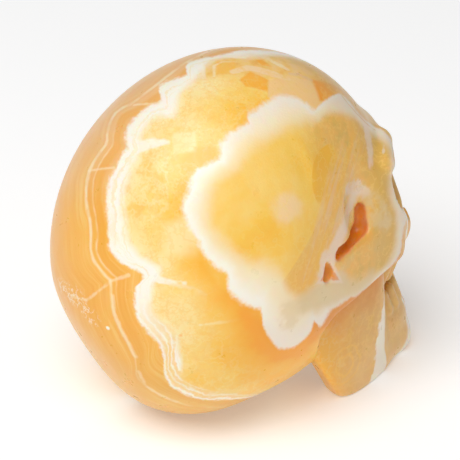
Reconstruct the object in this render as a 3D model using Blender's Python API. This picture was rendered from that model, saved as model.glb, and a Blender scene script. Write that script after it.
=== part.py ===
"""A human skull carved from one lump of banded orange calcite and polished all over.

The carving is one solid. It faces -Y, its right side is at -X, and it stands on the ground at z = 0, on one
flat under the braincase and one under the lower jaw. Its form is a distance field, which Geometry Nodes
work out in millimetres from ellipsoids, tapered rods and flat facets that are joined, or hollowed out of
each other, with soft edges. The field folds the two halves together, so the skull is symmetric about x = 0
and every place below is on its +X half.
"""

import math

import bpy

MM = 0.001

# Braincase: a nearly round ball whose long axis leans towards the forehead, with a fuller lower back.
CRANIUM_CENTRE = (0.0, -0.7, 55.8)
CRANIUM_RADII = (45.4, 51.2, 57.2)
CRANIUM_LEAN = (31.0, 0.0, 0.0)
LOWER_BACK_CENTRE = (0.0, 14.0, 34.5)
LOWER_BACK_RADII = (39.0, 30.5, 34.0)
FOREHEAD_CENTRE = (0.0, -28.0, 69.5)
FOREHEAD_RADII = (29.0, 24.6, 25.4)

# A facet is a point on it and its outward direction.
NAPE = ((0.0, 48.6, 32.3), (0.0, 0.9, -0.436))
CHEEK_SIDE = ((26.3, -51.0, 57.0), (1.0, -0.4, 0.05))
TEMPLE_SIDE = ((30.5, -29.0, 80.8), (0.794, -0.466, 0.394))
CHEEK_UNDERSIDE = ((29.0, -40.0, 43.0), (0.35, -0.3, -1.0))
FACE_FACETS = (
    ((26.0, -47.4, 78.5), (0.26, -1.0, 0.32)),
    ((24.0, -52.6, 52.0), (0.40, -1.0, -0.05)),
    ((20.0, -43.0, 83.0), (0.3, -0.55, 1.0)),
    ((0.0, -12.0, 60.0), (0.0, 1.0, 0.0)),
    CHEEK_UNDERSIDE,
    CHEEK_SIDE,
)

# A rod is its two ends and their radii.
BROW_INNER = ((2.5, -49.0, 76.5), (11.0, -49.2, 79.3), 4.2, 4.0)
BROW_OUTER = ((11.0, -49.2, 79.3), (21.0, -45.9, 77.5), 4.0, 3.2)
NOSE_BRIDGE = ((0.0, -50.5, 72.0), (0.0, -57.0, 60.0), 3.5, 2.8)
NOSE_FLANK = ((10.5, -50.0, 60.0), (8.5, -56.0, 48.0), 4.0, 5.0)
NOSE_SPINE = ((0.0, -58.0, 44.0), (0.0, -64.2, 45.8), 3.0, 1.6)
CHIN = ((0.0, -59.6, 5.5), (4.5, -58.1, 5.0), 7.6, 7.0)
JAW_BODY = ((4.5, -58.1, 5.0), (15.8, -41.8, 4.5), 7.0, 6.6)

# Bone above and below the mouth, and the stone left behind the teeth: centre, radii and turn in degrees.
UPPER_JAW = ((0.0, -46.9, 43.0), (13.5, 19.5, 11.5), None)
UPPER_GUM = ((0.0, -42.0, 36.5), (15.2, 19.0, 8.0), None)
LOWER_GUM = ((0.0, -46.5, 13.5), (15.5, 18.8, 12.0), (6.0, 0.0, 0.0))
MOUTH_CORE = ((0.0, -38.0, 27.0), (12.5, 16.0, 10.0), None)

# The ground away under the cheek arch, and the jaw branch that stands in it.
UNDER_ARCH = (
    ((29.0, -40.0, 42.5), (-0.35, 0.3, 1.0)),
    ((35.5, -20.4, 40.5), (0.0, 0.77, 0.64)),
    ((23.0, -28.0, 20.0), (-1.0, 0.36, 0.0)),
    ((30.0, -16.5, 30.0), (0.0, 1.0, -0.2)),
)
JAW_BRANCH = (
    ((27.8, -28.0, 1.5), (1.0, -0.30, 0.03)),
    ((16.5, -51.5, 0.5), (1.0, -0.66, -0.07)),
    ((17.0, -28.0, 1.5), (-1.0, 0.36, -0.03)),
    ((20.0, -50.0, 18.0), (0.2, -1.0, 0.11)),
    ((26.0, -25.2, 8.0), (0.1, 1.0, -0.55)),
    ((25.3, -30.0, 0.0), (0.8, 0.3, -1.0)),
    ((26.0, -30.0, 44.0), (0.0, 0.0, 1.0)),
)

# Hollows.
TEMPLE_PIT = ((37.5, -36.5, 73.0), (11.0, 11.0, 17.0), (0.0, -15.0, 20.0))
EYE_INNER = ((12.8, -53.0, 68.6), (7.8, 15.0, 8.8), (-12.0, 0.0, 17.0))
EYE_OUTER = ((16.8, -51.0, 66.3), (6.9, 14.0, 9.2), (-12.0, 0.0, 17.0))
SLOT_UPPER = ((26.3, -34.0, 67.0), (28.0, -33.0, 62.0), 2.2, 2.8)
SLOT_LOWER = ((28.0, -33.0, 62.0), (36.0, -22.4, 60.2), 2.8, 2.0)
NICK = ((38.8, -17.0, 58.8), (38.0, -17.2, 55.4), 0.9, 2.5)
NOSTRIL = ((3.2, -63.0, 50.5), (3.7, 13.0, 5.6), (0.0, -10.0, 0.0))
NOSE_TOP = ((0.0, -62.0, 56.0), (3.4, 12.0, 5.2), None)
PALATE = ((0.0, -38.0, 0.0), (11.0, 15.0, 10.0), None)

# Teeth stand side by side on two arches. A row is the arch's centre in y and its depth, the heights of the
# gum and of the teeth's edges, and how far the edges lean back.
TEETH_EACH_SIDE = 6
TOOTH_PITCH = 4.3
TOOTH_RADIUS = 2.3
ARCH_HALF_WIDTH = 14.5
UPPER_ROW = (-41.5, 18.5, 35.0, 29.6, 1.8)
LOWER_ROW = (-42.5, 18.5, 19.0, 24.8, 1.8)

# Blends between shapes, from soft to crisp.
BROAD = 8.0
SOFT = 4.0
FIRM = 2.5
CRISP = 1.2

# The middle of the face is rounded off over about this width, so that the two halves meet without a crease.
FOLD = 1.5

# The field is sampled on a grid of this pitch, inside this block.
BLOCK_LOW = (-52.0, -76.0, -8.0)
BLOCK_HIGH = (52.0, 60.0, 120.0)
PITCH = 1.0
TRIANGLES_KEPT = 0.08

# The field is worked out about the middle of the braincase. This moves the carving's whole box over the origin.
CENTRING = (0.0, 7.48, 0.0)

GROUND_SIZE = (0.2, 0.2, 0.02)
ORANGE = (0.83, 0.47, 0.16, 1.0)
POLISH = 0.22


class Field:
    """Adds maths nodes to a tree. Each shape is a socket: the distance to its surface, negative inside."""

    def __init__(self, tree):
        self.tree = tree
        position = tree.nodes.new("GeometryNodeInputPosition").outputs[0]
        parts = self.split(position)
        side = self.maths("SQRT", self.maths("MULTIPLY_ADD", parts[0], parts[0], FOLD * FOLD))
        folded = tree.nodes.new("ShaderNodeCombineXYZ")
        for socket, value in zip(folded.inputs, (side, parts[1], parts[2])):
            self.put(socket, value)
        self.place = folded.outputs[0]

    def put(self, socket, value):
        if isinstance(value, bpy.types.NodeSocket):
            self.tree.links.new(value, socket)
        else:
            socket.default_value = value

    def split(self, vector):
        node = self.tree.nodes.new("ShaderNodeSeparateXYZ")
        self.put(node.inputs[0], vector)
        return node.outputs

    def maths(self, operation, *values, clamp=False):
        node = self.tree.nodes.new("ShaderNodeMath")
        node.operation = operation
        node.use_clamp = clamp
        for socket, value in zip(node.inputs, values):
            self.put(socket, value)
        return node.outputs[0]

    def vector(self, operation, *values, output="Vector"):
        node = self.tree.nodes.new("ShaderNodeVectorMath")
        node.operation = operation
        for socket, value in zip(node.inputs, values):
            self.put(socket, value)
        return node.outputs[output]

    def local(self, centre, turn):
        """The place as seen from a shape's own centre and axes. turn is in degrees about X, Y and Z."""
        offset = self.vector("SUBTRACT", self.place, centre)
        if turn is None:
            return offset
        node = self.tree.nodes.new("ShaderNodeVectorRotate")
        node.rotation_type = "EULER_XYZ"
        node.invert = True
        self.put(node.inputs["Vector"], offset)
        self.put(node.inputs["Rotation"], tuple(math.radians(angle) for angle in turn))
        return node.outputs[0]

    def ellipsoid(self, centre, radii, turn=None):
        scaled = self.vector("DIVIDE", self.local(centre, turn), radii)
        reach = self.vector("LENGTH", scaled, output="Value")
        steepness = self.vector("LENGTH", self.vector("DIVIDE", scaled, radii), output="Value")
        rise = self.maths("MULTIPLY", reach, self.maths("SUBTRACT", reach, 1.0))
        return self.maths("DIVIDE", rise, steepness)

    def rod(self, start, end, start_radius, end_radius):
        along = tuple(e - s for s, e in zip(start, end))
        offset = self.vector("SUBTRACT", self.place, start)
        shadow = self.vector("DOT_PRODUCT", offset, along, output="Value")
        share = self.maths("DIVIDE", shadow, sum(a * a for a in along), clamp=True)
        foot = self.vector("MULTIPLY", share, along)
        gap = self.vector("DISTANCE", offset, foot, output="Value")
        radius = self.maths("MULTIPLY_ADD", share, end_radius - start_radius, start_radius)
        return self.maths("SUBTRACT", gap, radius)

    def facet(self, point, outward):
        length = math.sqrt(sum(o * o for o in outward))
        unit = tuple(o / length for o in outward)
        height = self.vector("DOT_PRODUCT", self.place, unit, output="Value")
        return self.maths("SUBTRACT", height, sum(p * u for p, u in zip(point, unit)))

    def faceted(self, facets, blend):
        """The space behind all of the facets."""
        solid = self.facet(*facets[0])
        for facet in facets[1:]:
            solid = self.trim(solid, self.facet(*facet), blend)
        return solid

    def join(self, solid, other, blend):
        return self.maths("SMOOTH_MIN", solid, other, blend)

    def trim(self, solid, limit, blend):
        return self.maths("SMOOTH_MAX", solid, limit, blend)

    def hollow(self, solid, cutter, blend):
        return self.trim(solid, self.maths("MULTIPLY", cutter, -1.0), blend)


def braincase(field):
    ball = field.ellipsoid(CRANIUM_CENTRE, CRANIUM_RADII, CRANIUM_LEAN)
    ball = field.join(ball, field.ellipsoid(LOWER_BACK_CENTRE, LOWER_BACK_RADII), BROAD)
    ball = field.trim(ball, field.facet(*NAPE), BROAD)
    return field.join(ball, field.ellipsoid(FOREHEAD_CENTRE, FOREHEAD_RADII), SOFT)


def upper_face(field, solid):
    """Cheekbones and temples as facets, then the brow, the nose and the upper jaw."""
    solid = field.join(solid, field.faceted(FACE_FACETS, SOFT), SOFT)
    solid = field.trim(solid, field.facet(*CHEEK_SIDE), SOFT)
    solid = field.trim(solid, field.facet(*TEMPLE_SIDE), BROAD)
    solid = field.hollow(solid, field.ellipsoid(*TEMPLE_PIT), SOFT)
    brow = field.join(field.rod(*BROW_INNER), field.rod(*BROW_OUTER), CRISP)
    solid = field.join(solid, brow, SOFT)
    solid = field.join(solid, field.ellipsoid(*UPPER_JAW), SOFT)
    solid = field.join(solid, field.rod(*NOSE_BRIDGE), SOFT)
    return field.join(solid, field.rod(*NOSE_FLANK), SOFT)


def tooth_row(field, row):
    """Teeth along half of an arch, from the middle of the face outwards, each a rod from gum to edge."""
    back, depth, gum_height, edge_height, lean = row
    teeth = None
    angle = 0.5 * TOOTH_PITCH / depth
    for _ in range(TEETH_EACH_SIDE):
        x = ARCH_HALF_WIDTH * math.sin(angle)
        y = back - depth * math.cos(angle)
        tooth = field.rod((x, y, gum_height), (x, y + lean, edge_height), TOOTH_RADIUS, TOOTH_RADIUS - 0.4)
        teeth = tooth if teeth is None else field.join(teeth, tooth, CRISP)
        angle += TOOTH_PITCH / math.hypot(ARCH_HALF_WIDTH * math.cos(angle), depth * math.sin(angle))
    return teeth


def lower_jaw(field, solid):
    solid = field.hollow(solid, field.faceted(UNDER_ARCH, FIRM), CRISP)
    jaw = field.join(field.rod(*CHIN), field.rod(*JAW_BODY), FIRM)
    jaw = field.join(jaw, field.ellipsoid(*LOWER_GUM), SOFT)
    jaw = field.join(jaw, field.faceted(JAW_BRANCH, SOFT), FIRM)
    return field.join(solid, jaw, CRISP)


def mouth(field, solid):
    solid = field.join(solid, field.ellipsoid(*UPPER_GUM), FIRM)
    solid = field.join(solid, field.ellipsoid(*MOUTH_CORE), CRISP)
    solid = field.join(solid, tooth_row(field, UPPER_ROW), CRISP)
    return field.join(solid, tooth_row(field, LOWER_ROW), CRISP)


def hollows(field, solid):
    eye = field.join(field.ellipsoid(*EYE_INNER), field.ellipsoid(*EYE_OUTER), SOFT)
    solid = field.hollow(solid, eye, FIRM)
    slot = field.join(field.rod(*SLOT_UPPER), field.rod(*SLOT_LOWER), CRISP)
    solid = field.hollow(solid, slot, FIRM)
    solid = field.hollow(solid, field.rod(*NICK), FIRM)
    nose = field.join(field.ellipsoid(*NOSTRIL), field.ellipsoid(*NOSE_TOP), FIRM)
    solid = field.hollow(solid, nose, CRISP)
    solid = field.join(solid, field.rod(*NOSE_SPINE), FIRM)
    return field.hollow(solid, field.ellipsoid(*PALATE), FIRM)


def skull_form(field):
    solid = braincase(field)
    solid = upper_face(field, solid)
    solid = lower_jaw(field, solid)
    solid = mouth(field, solid)
    return hollows(field, solid)


def skull_tree(stone):
    tree = bpy.data.node_groups.new("skull form", "GeometryNodeTree")
    tree.interface.new_socket("Geometry", in_out="OUTPUT", socket_type="NodeSocketGeometry")
    field = Field(tree)
    grid = tree.nodes.new("GeometryNodeVolumeCube")
    field.put(grid.inputs["Density"], field.maths("MULTIPLY", skull_form(field), -1.0))
    field.put(grid.inputs["Background"], -1.0)
    field.put(grid.inputs["Min"], BLOCK_LOW)
    field.put(grid.inputs["Max"], BLOCK_HIGH)
    for axis, low, high in zip("XYZ", BLOCK_LOW, BLOCK_HIGH):
        field.put(grid.inputs["Resolution " + axis], round((high - low) / PITCH))
    surface = tree.nodes.new("GeometryNodeVolumeToMesh")
    field.put(surface.inputs["Volume"], grid.outputs[0])
    field.put(surface.inputs["Threshold"], 0.0)
    scale = tree.nodes.new("GeometryNodeTransform")
    field.put(scale.inputs["Geometry"], surface.outputs[0])
    field.put(scale.inputs["Translation"], tuple(MM * shift for shift in CENTRING))
    field.put(scale.inputs["Scale"], (MM, MM, MM))
    cover = tree.nodes.new("GeometryNodeSetMaterial")
    field.put(cover.inputs["Geometry"], scale.outputs[0])
    field.put(cover.inputs["Material"], stone)
    out = tree.nodes.new("NodeGroupOutput")
    field.put(out.inputs[0], cover.outputs[0])
    return tree


def calcite():
    stone = bpy.data.materials.new("orange calcite")
    stone.use_nodes = True
    shader = stone.node_tree.nodes["Principled BSDF"]
    shader.inputs["Base Color"].default_value = ORANGE
    shader.inputs["Roughness"].default_value = POLISH
    shader.inputs["Metallic"].default_value = 0.0
    return stone


def add_collection(name):
    collection = bpy.data.collections.new(name)
    bpy.context.scene.collection.children.link(collection)
    return collection


def move_to(collection, obj):
    for other in list(obj.users_collection):
        other.objects.unlink(obj)
    collection.objects.link(obj)


def ground_block(cutters):
    """The ground, which cuts the two flats that the carving stands on."""
    bpy.ops.mesh.primitive_cube_add(size=1.0, location=(0.0, 0.0, -0.5 * GROUND_SIZE[2]))
    block = bpy.context.object
    block.name = "ground_block"
    block.scale = GROUND_SIZE
    block.hide_render = True
    block.display_type = "WIRE"
    move_to(cutters, block)
    return block


def skull(parts, ground):
    """The carving. The sphere that it starts from is swapped for the whole form by the first modifier."""
    bpy.ops.mesh.primitive_ico_sphere_add(subdivisions=2, radius=CRANIUM_RADII[0] * MM)
    obj = bpy.context.object
    obj.name = "skull"
    move_to(parts, obj)
    form = obj.modifiers.new("form", "NODES")
    form.node_group = skull_tree(calcite())
    thin = obj.modifiers.new("thin out", "DECIMATE")
    thin.ratio = TRIANGLES_KEPT
    rest = obj.modifiers.new("rest flats", "BOOLEAN")
    rest.operation = "DIFFERENCE"
    rest.object = ground


def main():
    for obj in list(bpy.data.objects):
        bpy.data.objects.remove(obj)
    parts = add_collection("calcite skull carving")
    cutters = add_collection("cutters")
    skull(parts, ground_block(cutters))


main()
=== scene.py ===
"""Looks of the calcite skull carving: the same form at a fine pitch, and banded, clouded, polished stone."""

import math
import types

import bpy
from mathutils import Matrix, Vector


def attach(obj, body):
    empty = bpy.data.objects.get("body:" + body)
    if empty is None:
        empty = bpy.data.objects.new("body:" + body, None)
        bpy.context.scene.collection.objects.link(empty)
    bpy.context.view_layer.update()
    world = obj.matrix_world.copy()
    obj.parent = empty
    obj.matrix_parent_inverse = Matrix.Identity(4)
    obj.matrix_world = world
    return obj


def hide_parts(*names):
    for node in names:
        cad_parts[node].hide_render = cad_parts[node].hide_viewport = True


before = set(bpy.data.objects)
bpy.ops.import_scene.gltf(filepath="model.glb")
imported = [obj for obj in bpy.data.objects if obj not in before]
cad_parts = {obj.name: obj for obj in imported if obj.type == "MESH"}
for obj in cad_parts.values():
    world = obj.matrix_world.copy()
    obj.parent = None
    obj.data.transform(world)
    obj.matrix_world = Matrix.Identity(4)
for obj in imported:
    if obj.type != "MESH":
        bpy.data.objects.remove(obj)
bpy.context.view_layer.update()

MM = 0.001

# Braincase: a nearly round ball whose long axis leans towards the forehead, with a fuller lower back.
CRANIUM_CENTRE = (0, -0.7, 55.8)
CRANIUM_RADII = (45.4, 51.2, 57.2)
CRANIUM_LEAN = (31, 0, 0)
LOWER_BACK_CENTRE = (0, 14, 34.5)
LOWER_BACK_RADII = (39, 30.5, 34)
FOREHEAD_CENTRE = (0, -28, 69.5)
FOREHEAD_RADII = (29, 24.6, 25.4)

# A facet is a point on it and its outward direction.
NAPE = ((0, 48.6, 32.3), (0, 0.9, -0.436))
CHEEK_SIDE = ((26.3, -51, 57), (1, -0.4, 0.05))
TEMPLE_SIDE = ((30.5, -29, 80.8), (0.794, -0.466, 0.394))
CHEEK_UNDERSIDE = ((29, -40, 43), (0.35, -0.3, -1))
FACE_FACETS = (
    ((26, -47.4, 78.5), (0.26, -1, 0.32)),
    ((24, -52.6, 52), (0.4, -1, -0.05)),
    ((20, -43, 83), (0.3, -0.55, 1)),
    ((0, -12, 60), (0, 1, 0)),
    CHEEK_UNDERSIDE,
    CHEEK_SIDE,
)

# A rod is its two ends and their radii.
BROW_INNER = ((2.5, -49, 76.5), (11, -49.2, 79.3), 4.2, 4)
BROW_OUTER = ((11, -49.2, 79.3), (21, -45.9, 77.5), 4, 3.2)
NOSE_BRIDGE = ((0, -50.5, 72), (0, -57, 60), 3.5, 2.8)
NOSE_FLANK = ((10.5, -50, 60), (8.5, -56, 48), 4, 5)
NOSE_SPINE = ((0, -58, 44), (0, -64.2, 45.8), 3, 1.6)
CHIN = ((0, -59.6, 5.5), (4.5, -58.1, 5), 7.6, 7)
JAW_BODY = ((4.5, -58.1, 5), (15.8, -41.8, 4.5), 7, 6.6)

# Bone above and below the mouth, and the stone left behind the teeth: centre, radii and any turn in degrees.
UPPER_JAW = ((0, -46.9, 43), (13.5, 19.5, 11.5))
UPPER_GUM = ((0, -42, 36.5), (15.2, 19, 8))
LOWER_GUM = ((0, -46.5, 13.5), (15.5, 18.8, 12), (6, 0, 0))
MOUTH_CORE = ((0, -38, 27), (12.5, 16, 10))

# The ground away under the cheek arch, and the jaw branch that stands in it.
UNDER_ARCH = (
    ((29, -40, 42.5), (-0.35, 0.3, 1)),
    ((35.5, -20.4, 40.5), (0, 0.77, 0.64)),
    ((23, -28, 20), (-1, 0.36, 0)),
    ((30, -16.5, 30), (0, 1, -0.2)),
)
JAW_BRANCH = (
    ((27.8, -28, 1.5), (1, -0.3, 0.03)),
    ((16.5, -51.5, 0.5), (1, -0.66, -0.07)),
    ((17, -28, 1.5), (-1, 0.36, -0.03)),
    ((20, -50, 18), (0.2, -1, 0.11)),
    ((26, -25.2, 8), (0.1, 1, -0.55)),
    ((25.3, -30, 0), (0.8, 0.3, -1)),
    ((26, -30, 44), (0, 0, 1)),
)

# Hollows.
TEMPLE_PIT = ((37.5, -36.5, 73), (11, 11, 17), (0, -15, 20))
EYE_INNER = ((12.8, -53, 68.6), (7.8, 15, 8.8), (-12, 0, 17))
EYE_OUTER = ((16.8, -51, 66.3), (6.9, 14, 9.2), (-12, 0, 17))
SLOT_UPPER = ((26.3, -34, 67), (28, -33, 62), 2.2, 2.8)
SLOT_LOWER = ((28, -33, 62), (36, -22.4, 60.2), 2.8, 2)
NICK = ((38.8, -17, 58.8), (38, -17.2, 55.4), 0.9, 2.5)
NOSTRIL = ((3.2, -63, 50.5), (3.7, 13, 5.6), (0, -10, 0))
NOSE_TOP = ((0, -62, 56), (3.4, 12, 5.2))
PALATE = ((0, -38, 0), (11, 15, 10))

# Teeth stand side by side on two arches. A row is the arch's centre in y and its depth, the heights of the
# gum and the teeth's edges, and how far the edges lean back.
TEETH_EACH_SIDE = 6
TOOTH_PITCH = 4.3
TOOTH_RADIUS = 2.3
TOOTH_EDGE_RADIUS = 1.9
ARCH_HALF_WIDTH = 14.5
UPPER_ROW = (-41.5, 18.5, 35, 29.6, 1.8)
LOWER_ROW = (-42.5, 18.5, 19, 24.8, 1.8)

# Blends between shapes, from soft to crisp.
BROAD = 8
SOFT = 4
FIRM = 2.5
CRISP = 1.2

# The middle of the face is rounded off over about this width, so that the two halves meet without a crease.
FOLD = 1.5

# The form is sampled on a grid of this pitch, inside this block, and then moved over the frame's origin.
BLOCK_LOW = (-50, -74, -3)
BLOCK_HIGH = (50, 58, 117)
PITCH = 0.78
CENTRING = (0, 7.48, 0)
GROUND = ((0, 0, 0), (0, 0, -1))


class Nodes:
    """Adds nodes to a tree and joins sockets. A subclass sets the place that shapes are measured from."""

    def __init__(self, tree):
        self.tree = tree

    def put(self, socket, value):
        if isinstance(value, bpy.types.NodeSocket):
            self.tree.links.new(value, socket)
        else:
            socket.default_value = value

    def add(self, kind, *values, **named):
        """A new node. Its inputs take the values in order, or by name with _ for a space. A name in small
        letters is one of the node's settings."""
        node = self.tree.nodes.new(kind)
        for name, value in named.items():
            if name.islower():
                setattr(node, name, value)
        for socket, value in zip(node.inputs, values):
            self.put(socket, value)
        for name, value in named.items():
            if not name.islower():
                self.put(node.inputs[name.replace("_", " ")], value)
        return node

    def maths(self, operation, *values):
        return self.add("ShaderNodeMath", *values, operation=operation).outputs[0]

    def plus(self, value, other):
        return self.maths("ADD", value, other)

    def minus(self, value, other):
        return self.maths("SUBTRACT", value, other)

    def times(self, *values):
        product = values[0]
        for value in values[1:]:
            product = self.maths("MULTIPLY", product, value)
        return product

    def linear(self, value, factor, offset):
        return self.maths("MULTIPLY_ADD", value, factor, offset)

    def vector(self, operation, *values):
        return self.add("ShaderNodeVectorMath", *values, operation=operation).outputs["Vector"]

    def measure(self, operation, *values):
        """A vector operation that gives a number."""
        return self.add("ShaderNodeVectorMath", *values, operation=operation).outputs["Value"]

    def scaled(self, vector, factor):
        return self.add("ShaderNodeVectorMath", vector, operation="SCALE", Scale=factor).outputs[0]

    def split(self, vector):
        return self.add("ShaderNodeSeparateXYZ", vector).outputs

    def share(self, value, whole):
        """The value as a share of the whole, held between 0 and 1."""
        return self.maths("MINIMUM", self.maths("MAXIMUM", self.maths("DIVIDE", value, whole), 0), 1)

    def facet(self, point, outward):
        """How far the place lies beyond a plane through the point, in the outward direction."""
        length = math.sqrt(sum(o * o for o in outward))
        unit = tuple(o / length for o in outward)
        height = self.measure("DOT_PRODUCT", self.place, unit)
        return self.minus(height, sum(p * u for p, u in zip(point, unit)))

    def rod(self, start, end, start_radius, end_radius):
        """How far the place is outside a straight, tapering rod."""
        run = tuple(e - s for s, e in zip(start, end))
        offset = self.vector("SUBTRACT", self.place, start)
        share = self.share(self.measure("DOT_PRODUCT", offset, run), sum(r * r for r in run))
        gap = self.measure("DISTANCE", offset, self.scaled(run, share))
        radius = self.linear(share, end_radius - start_radius, start_radius)
        return self.minus(gap, radius)


class Field(Nodes):
    """Shapes as distances to their surface, negative inside. Both sides of the skull share them."""

    def __init__(self, tree, position):
        super().__init__(tree)
        side, depth, height = self.split(position)
        side = self.maths("SQRT", self.linear(side, side, FOLD * FOLD))
        self.place = self.add("ShaderNodeCombineXYZ", side, depth, height).outputs[0]

    def local(self, centre, turn):
        """The place as seen from a shape's own centre and axes. turn is in degrees about X, Y and Z."""
        offset = self.vector("SUBTRACT", self.place, centre)
        if turn is None:
            return offset
        angles = tuple(math.radians(angle) for angle in turn)
        return self.add("ShaderNodeVectorRotate", rotation_type="EULER_XYZ", invert=True, Vector=offset,
                        Rotation=angles).outputs[0]

    def ellipsoid(self, centre, radii, turn=None):
        scaled = self.vector("DIVIDE", self.local(centre, turn), radii)
        reach = self.measure("LENGTH", scaled)
        steepness = self.measure("LENGTH", self.vector("DIVIDE", scaled, radii))
        rise = self.times(reach, self.minus(reach, 1))
        return self.maths("DIVIDE", rise, steepness)

    def faceted(self, facets, blend):
        """The space behind all of the facets."""
        solid = self.facet(*facets[0])
        for facet in facets[1:]:
            solid = self.trim(solid, self.facet(*facet), blend)
        return solid

    def join(self, solid, other, blend):
        return self.maths("SMOOTH_MIN", solid, other, blend)

    def trim(self, solid, limit, blend):
        return self.maths("SMOOTH_MAX", solid, limit, blend)

    def hollow(self, solid, cutter, blend):
        return self.trim(solid, self.times(cutter, -1), blend)


def braincase(field):
    ball = field.ellipsoid(CRANIUM_CENTRE, CRANIUM_RADII, CRANIUM_LEAN)
    ball = field.join(ball, field.ellipsoid(LOWER_BACK_CENTRE, LOWER_BACK_RADII), BROAD)
    ball = field.trim(ball, field.facet(*NAPE), BROAD)
    return field.join(ball, field.ellipsoid(FOREHEAD_CENTRE, FOREHEAD_RADII), SOFT)


def upper_face(field, solid):
    """Cheekbones and temples as facets, then the brow, the nose and the upper jaw."""
    solid = field.join(solid, field.faceted(FACE_FACETS, SOFT), SOFT)
    solid = field.trim(solid, field.facet(*CHEEK_SIDE), SOFT)
    solid = field.trim(solid, field.facet(*TEMPLE_SIDE), BROAD)
    solid = field.hollow(solid, field.ellipsoid(*TEMPLE_PIT), SOFT)
    brow = field.join(field.rod(*BROW_INNER), field.rod(*BROW_OUTER), CRISP)
    solid = field.join(solid, brow, SOFT)
    solid = field.join(solid, field.ellipsoid(*UPPER_JAW), SOFT)
    solid = field.join(solid, field.rod(*NOSE_BRIDGE), SOFT)
    return field.join(solid, field.rod(*NOSE_FLANK), SOFT)


def tooth_row(field, row):
    """Teeth along half of an arch, from the middle of the face outwards, each a rod from gum to edge."""
    back, depth, gum_height, edge_height, lean = row
    teeth = None
    angle = 0.5 * TOOTH_PITCH / depth
    for _ in range(TEETH_EACH_SIDE):
        x = ARCH_HALF_WIDTH * math.sin(angle)
        y = back - depth * math.cos(angle)
        tooth = field.rod((x, y, gum_height), (x, y + lean, edge_height), TOOTH_RADIUS, TOOTH_EDGE_RADIUS)
        teeth = tooth if teeth is None else field.join(teeth, tooth, CRISP)
        angle += TOOTH_PITCH / math.hypot(ARCH_HALF_WIDTH * math.cos(angle), depth * math.sin(angle))
    return teeth


def lower_jaw(field, solid):
    solid = field.hollow(solid, field.faceted(UNDER_ARCH, FIRM), CRISP)
    jaw = field.join(field.rod(*CHIN), field.rod(*JAW_BODY), FIRM)
    jaw = field.join(jaw, field.ellipsoid(*LOWER_GUM), SOFT)
    jaw = field.join(jaw, field.faceted(JAW_BRANCH, SOFT), FIRM)
    return field.join(solid, jaw, CRISP)


def mouth(field, solid):
    solid = field.join(solid, field.ellipsoid(*UPPER_GUM), FIRM)
    solid = field.join(solid, field.ellipsoid(*MOUTH_CORE), CRISP)
    solid = field.join(solid, tooth_row(field, UPPER_ROW), CRISP)
    return field.join(solid, tooth_row(field, LOWER_ROW), CRISP)


def hollows(field, solid):
    eye = field.join(field.ellipsoid(*EYE_INNER), field.ellipsoid(*EYE_OUTER), SOFT)
    solid = field.hollow(solid, eye, FIRM)
    slot = field.join(field.rod(*SLOT_UPPER), field.rod(*SLOT_LOWER), CRISP)
    solid = field.hollow(solid, slot, FIRM)
    solid = field.hollow(solid, field.rod(*NICK), FIRM)
    nose = field.join(field.ellipsoid(*NOSTRIL), field.ellipsoid(*NOSE_TOP), FIRM)
    solid = field.hollow(solid, nose, CRISP)
    solid = field.join(solid, field.rod(*NOSE_SPINE), FIRM)
    return field.hollow(solid, field.ellipsoid(*PALATE), FIRM)


def skull_form(field):
    solid = braincase(field)
    for shape in (upper_face, lower_jaw, mouth, hollows):
        solid = shape(field, solid)
    return solid


def skull_tree(stone):
    """The group of nodes that turns the field into a smooth mesh in metres, covered in the stone."""
    tree = bpy.data.node_groups.new("skull form", "GeometryNodeTree")
    tree.interface.new_socket("Geometry", in_out="OUTPUT", socket_type="NodeSocketGeometry")
    field = Field(tree, tree.nodes.new("GeometryNodeInputPosition").outputs[0])
    form = field.trim(skull_form(field), field.facet(*GROUND), CRISP)
    cells = [round((high - low) / PITCH) for low, high in zip(BLOCK_LOW, BLOCK_HIGH)]
    grid = field.add("GeometryNodeVolumeCube", Density=field.times(form, -1), Background=-1,
                     Min=BLOCK_LOW, Max=BLOCK_HIGH,
                     Resolution_X=cells[0], Resolution_Y=cells[1], Resolution_Z=cells[2])
    surface = field.add("GeometryNodeVolumeToMesh", Volume=grid.outputs[0], Threshold=0)
    scale = field.add("GeometryNodeTransform", Geometry=surface.outputs[0],
                      Translation=tuple(MM * shift for shift in CENTRING), Scale=(MM, MM, MM))
    smooth = field.add("GeometryNodeSetShadeSmooth", Geometry=scale.outputs[0])
    cover = field.add("GeometryNodeSetMaterial", Geometry=smooth.outputs[0], Material=stone)
    field.add("NodeGroupOutput", cover.outputs[0])
    return tree


# Stone. The block grew in shells around one centre, so a colour follows from how far a place is from that
# centre and which way it lies. AHEAD and UPWARD span the plane in which that direction is measured, in
# degrees, and OUTWARD stands at right angles to it.
GROWTH_CENTRE = (-23.8, -4.5, 72.7)
AHEAD = (-0.4384, -0.8988, 0)
UPWARD = (0.4494, -0.2192, 0.866)
OUTWARD = (-0.7784, 0.3796, 0.5)

# Each outline is a list of directions in degrees and distances in mm. The outer edges have sharp notches.
INNER_BAND_OUTSIDE = (
    (0, 43), (8, 39.5), (16, 36.8), (24, 36.8), (31, 41.2), (37, 41), (45, 39), (51, 36.2), (57, 37),
    (64, 37.8), (68, 35), (75, 30), (82, 32.2), (90, 33.8), (100, 34.6), (110, 34.1), (114, 34.4),
    (117, 33.2), (125, 33.8), (134, 35), (142, 34.9), (147, 34.3), (155, 36.4), (163, 38.2), (172, 38.9),
    (182, 39.8), (192, 39.1), (202, 37.7), (214, 36.8), (222, 35.7), (228, 34.8), (236, 36.3), (244, 36.2),
    (250, 35.2), (255, 34.6), (258.5, 38.2), (263.5, 41), (267, 42.6), (272, 42.2), (277, 40.2), (283, 34.8),
    (284, 37.6), (288, 36.2), (294, 34), (300, 34.2), (307, 36), (318, 39.6), (328, 42.6), (337, 44.2),
    (344, 43), (349, 42.4), (355, 44), (360, 43),
)
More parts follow.
